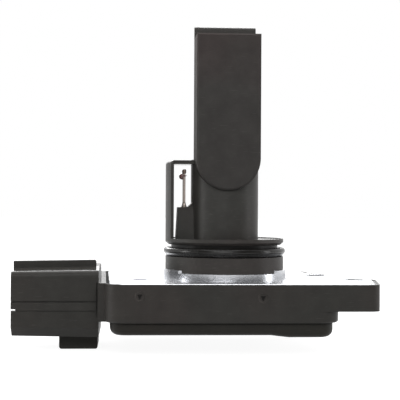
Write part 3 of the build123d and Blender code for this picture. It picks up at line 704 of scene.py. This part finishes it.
# %% Sealing ring
UPPER_LOBE_R, UPPER_LOBE_RISE = 0.84, 1.24
LOWER_LOBE_R, LOWER_LOBE_INSET = 0.55, 0.42
SECTION_POINTS, RING_STEPS = 36, 160

outer_r = ring_high.x / MM
ring_floor_z = ring_low.z / MM
upper_lobe = Vector((outer_r - UPPER_LOBE_R, ring_floor_z + UPPER_LOBE_RISE))
lower_lobe = Vector((outer_r - LOWER_LOBE_INSET - LOWER_LOBE_R, ring_floor_z + LOWER_LOBE_R))
heart = (upper_lobe + lower_lobe) / 2


def reach(ray, lobe, radius):
    """How far a ray from the heart of the section goes before it leaves a lobe."""
    offset = lobe - heart
    along = ray.dot(offset)
    return along + math.sqrt(max(radius**2 - offset.length_squared + along**2, 0.0))


section = []
for t in turns(SECTION_POINTS):
    ray = Vector((math.cos(t), math.sin(t)))
    section.append(heart + ray * max(reach(ray, upper_lobe, UPPER_LOBE_R), reach(ray, lower_lobe, LOWER_LOBE_R)))
rings = [[(edge.x * math.cos(t), edge.x * math.sin(t), edge.y) for edge in section] for t in turns(RING_STEPS)]
sealing_ring = finish_piece("sealing_ring", *skin_rings(rings, closed=True), seal_rubber, "seal_rubber")
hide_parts("o_ring")

# %% [markdown]
# ## The bead and its wires
# The air's temperature is read by a glass bead, hung between the posts on two wires that are wound round them. The
# bead is an egg lying along the wires. Each wire is a round section carried along a line of points: straight from
# the bead to the post, then a turn and a half round it, climbing a little.

# %% Bead
BEAD_R, BEAD_HALF_LENGTH, BEAD_ASIDE = 0.76, 1.0, 0.3
EGG_STEPS, EGG_SIDES, EGG_FULLNESS, EGG_TIP_R = 24, 32, 0.85, 0.128

bead_low, bead_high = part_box("temperature_bead")
bead_z = (bead_low.z + bead_high.z) / 2 / MM
bead_x = (bead_low.x + bead_high.x) / 2 / MM - BEAD_ASIDE

egg = []
for n in range(1, EGG_STEPS):
    angle = math.pi * n / EGG_STEPS
    radius = max(BEAD_R * math.sin(angle) ** EGG_FULLNESS, EGG_TIP_R)
    y = -BEAD_HALF_LENGTH * math.cos(angle)
    egg.append([(bead_x + radius * math.sin(t), y, bead_z + radius * math.cos(t)) for t in turns(EGG_SIDES)])
shapes = [skin_rings(egg, closed=False)]
print("bead's middle in mm, X and Z:", round(bead_x, 2), round(bead_z, 2))

# %% Wires
# shares of the bead's half length: a wire starts inside the glass, at the first, and comes out by the second
WIRE_START = (0.8, 1.1)
WIRE_R, WIRE_SIDES, WINDS, WIND_RISE, WIND_STEPS = 0.08, 8, 1.5, 0.22, 28


def post_middle(node):
    """A post's middle in X and Y, its half side and its top, in mm."""
    low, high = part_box(node)
    return (low.x + high.x) / 2 / MM, (low.y + high.y) / 2 / MM, (high.x - low.x) / 2 / MM, high.z / MM


def carried(line, radius, sides):
    """Rings of a round section carried along a line of points."""
    rings = []
    for n, point in enumerate(line):
        heading = (line[min(n + 1, len(line) - 1)] - line[max(n - 1, 0)]).normalized()
        side = heading.cross(Vector((0, 0, 1))).normalized()
        over = side.cross(heading)
        rings.append([point + radius * (math.cos(t) * side + math.sin(t) * over) for t in turns(sides)])
    return rings


for node, away in (("temperature_post_near", -1), ("temperature_post_far", 1)):
    x, y, half, _ = post_middle(node)
    wind_r = half * math.sqrt(2) + WIRE_R
    line = [Vector((bead_x, away * share * BEAD_HALF_LENGTH, bead_z)) for share in WIRE_START]
    for n in range(WIND_STEPS + 1):
        wound = WINDS * n / WIND_STEPS
        angle = math.pi - away * 2 * math.pi * wound
        line.append(Vector((x + wind_r * math.cos(angle), y + wind_r * math.sin(angle), bead_z + WIND_RISE * wound)))
    shapes.append(skin_rings(carried(line, WIRE_R, WIRE_SIDES), closed=False))
glass_bead = finish_piece("glass_bead", *merged(shapes), bead_glass, "bead_glass")
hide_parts("temperature_bead")

# %% [markdown]
# ## Solder at the posts
# Solder climbs each post where it leaves the plastic, in a hollow curve, and a small rounded head closes its top.
# Both are stacks of rounded squares whose size changes with height.

# %% Solder feet and heads
# height over the start and half width of each square, in mm
FOOT_STACK = ((0.0, 0.74), (0.12, 0.62), (0.3, 0.5), (0.55, 0.4), (0.85, 0.33), (1.15, 0.29))
HEAD_STACK = ((-1.0, 0.28), (-0.9, 0.36), (-0.75, 0.4), (-0.3, 0.41), (-0.08, 0.37), (0.04, 0.26))
ROUND_POINTS, SQUARENESS = 28, 0.6
# the feet stand on the plastic block, this far under the bead's middle
BEAD_OVER_BLOCK = 7.26


def rounded_stack(x, y, start_z, stack):
    """Rings of rounded squares, each at its height over the start and with its half width."""
    outline = [
        [math.copysign(abs(part) ** SQUARENESS, part) for part in (math.cos(t), math.sin(t))]
        for t in turns(ROUND_POINTS)
    ]
    return [
        [(x + half * across, y + half * along, start_z + height) for across, along in outline]
        for height, half in stack
    ]


# the far foot and both heads take the darker copy of the lead metal, which is painted shade
for side_name, foot_finish in (("near", lead_metal), ("far", lead_metal_in_painted_shade)):
    x, y, _, top_z = post_middle(f"temperature_post_{side_name}")
    foot = rounded_stack(x, y, bead_z - BEAD_OVER_BLOCK, FOOT_STACK)
    finish_piece(f"solder_foot_{side_name}", *skin_rings(foot, closed=False), foot_finish, "lead_metal")
    head = rounded_stack(x, y, top_z, HEAD_STACK)
    finish_piece(f"post_head_{side_name}", *skin_rings(head, closed=False), lead_metal_in_painted_shade, "lead_metal")
